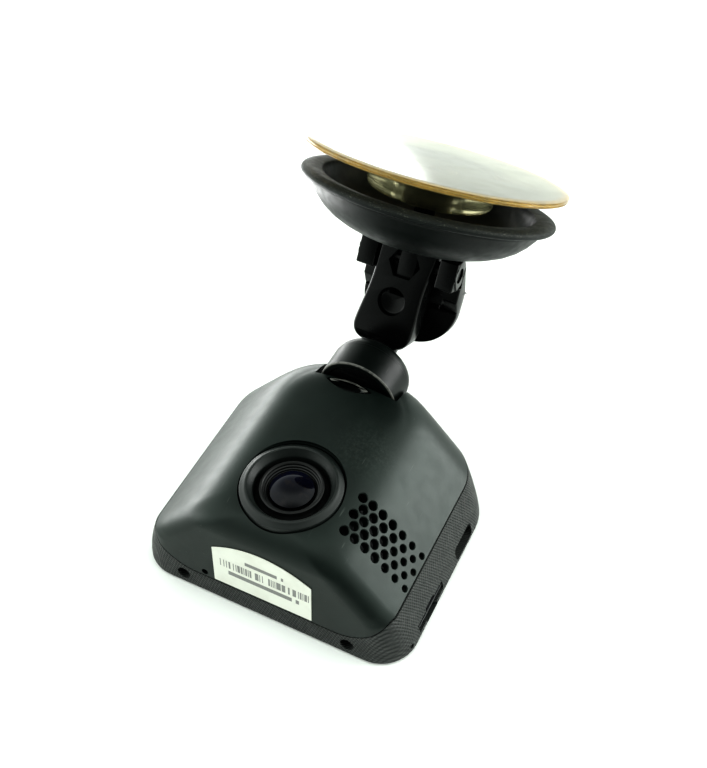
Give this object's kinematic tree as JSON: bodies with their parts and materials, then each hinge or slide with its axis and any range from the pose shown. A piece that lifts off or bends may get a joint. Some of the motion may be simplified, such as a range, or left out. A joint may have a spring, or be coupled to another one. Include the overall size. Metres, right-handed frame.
{
  "type": "dash camera",
  "caption": "Windscreen dash camera with a rounded arch-shaped case, round lens, speaker grille and screen, on a ball-jointed arm with a lever-locked suction cup.",
  "frame": {"origin": "in the middle plane of the camera, on the outer face of its screen window, where it rests on its back", "axes": "+Z out through the lens, +Y towards the suction mount, +X to the right for someone facing the lens with the mount up"},
  "size_m": [0.0614, 0.1038, 0.0736],
  "materials": {
    "front_case": "fine satin texture, worn smooth on the crown",
    "rear_case": "woven texture on the band",
    "label": "satin paper sticker with plain bars",
    "screw_steel": "dark zinc",
    "lens_trim": "satin to gloss",
    "lens_glass": "blue-violet coating",
    "screen_glass": "gloss black",
    "panel_metal": "satin",
    "light_pipe": "frosted",
    "button": "satin",
    "circuit_board": "solder mask",
    "chip": "moulded",
    "connector_metal": "tinned",
    "card": "satin",
    "cell": "film sleeve",
    "mount_plastic": "semi-gloss moulded",
    "liner": "acetal",
    "bowl_plastic": "satin, dusty rim",
    "pad_tpu": "translucent, yellowed"
  },
  "bodies": {
    "camera": {"front_shell": "front_case", "rear_shell": "rear_case", "serial_label": "label", "case_screw_left": "screw_steel", "case_screw_right": "screw_steel", "lens_ring": "lens_trim", "lens_barrel": "lens_trim", "front_lens": "lens_glass", "lens_holder": "chip", "image_sensor": "chip", "screen_window": "screen_glass", "screen_panel": "panel_metal", "status_light": "light_pipe", "main_board": "circuit_board", "processor": "chip", "memory_chip": "chip", "usb_port": "connector_metal", "card_slot": "connector_metal", "battery": "cell", "microphone": "connector_metal", "board_screw_left": "screw_steel", "board_screw_right": "screw_steel", "speaker": "chip"},
    "card": {"memory_card": "card"},
    "menu_key": {"menu_button": "button"},
    "down_key": {"down_button": "button"},
    "up_key": {"up_button": "button"},
    "record_key": {"record_button": "button"},
    "power_key": {"power_button": "button"},
    "catch": {"release_catch": "front_case"},
    "dock": {"socket_cap": "mount_plastic", "socket_base": "mount_plastic", "spring_washer": "screw_steel"},
    "seat": {"friction_pad": "liner"},
    "ball": {"joint_ball": "mount_plastic"},
    "arm": {"mount_arm": "mount_plastic", "suction_bowl": "bowl_plastic", "lever_pin": "screw_steel"},
    "lever": {"lock_lever": "mount_plastic"},
    "pad": {"suction_pad": "pad_tpu", "pad_stud": "mount_plastic"}
  },
  "joints": [
    {"name": "card_slide", "type": "slide", "parent": "camera", "child": "card", "axis": [1, 0, 0], "range_m": [0, 0.012]},
    {"name": "menu_press", "type": "slide", "parent": "camera", "child": "menu_key", "axis": [0, 0, 1], "range_m": [0, 0.0004], "stiffness_N_per_m": 2500},
    {"name": "down_press", "type": "slide", "parent": "camera", "child": "down_key", "axis": [0, 0, 1], "range_m": [0, 0.0004], "stiffness_N_per_m": 2500},
    {"name": "up_press", "type": "slide", "parent": "camera", "child": "up_key", "axis": [0, 0, 1], "range_m": [0, 0.0004], "stiffness_N_per_m": 2500},
    {"name": "record_press", "type": "slide", "parent": "camera", "child": "record_key", "axis": [0, 0, 1], "range_m": [0, 0.0004], "stiffness_N_per_m": 2500},
    {"name": "power_press", "type": "slide", "parent": "camera", "child": "power_key", "axis": [1, 0, 0], "range_m": [0, 0.0005], "stiffness_N_per_m": 2500},
    {"name": "catch_press", "type": "slide", "parent": "camera", "child": "catch", "axis": [0, 0, -1], "range_m": [0, 0.001], "stiffness_N_per_m": 2500},
    {"name": "dock_slide", "type": "slide", "parent": "camera", "child": "dock", "axis": [0, 1, 0], "range_m": [0, 0.012]},
    {"name": "ball_spin", "type": "hinge", "parent": "dock", "child": "seat", "pos_m": [0, 0.0252, 0.0241], "axis": [0, 1, 0], "range_deg": [-60, 60]},
    {"name": "ball_tilt", "type": "hinge", "parent": "seat", "child": "ball", "pos_m": [0, 0.0252, 0.0241], "axis": [1, 0, 0], "range_deg": [-30, 30]},
    {"name": "ball_sway", "type": "hinge", "parent": "ball", "child": "arm", "pos_m": [0, 0.0252, 0.0241], "axis": [0, 0, 1], "range_deg": [-25, 25]},
    {"name": "lever_flip", "type": "hinge", "parent": "arm", "child": "lever", "pos_m": [0.00063, 0.04343, 0.04132], "axis": [0.9997, -0.013, -0.0227], "range_deg": [0, 52]},
    {"name": "pad_pull", "type": "slide", "parent": "arm", "child": "pad", "axis": [-0.0262, -0.4953, -0.8683], "range_m": [0, 0.003]}
  ],
  "couplings": [
    {"joint": "pad_pull", "follows": "lever_flip", "m_per_rad": 0.0033}
  ]
}
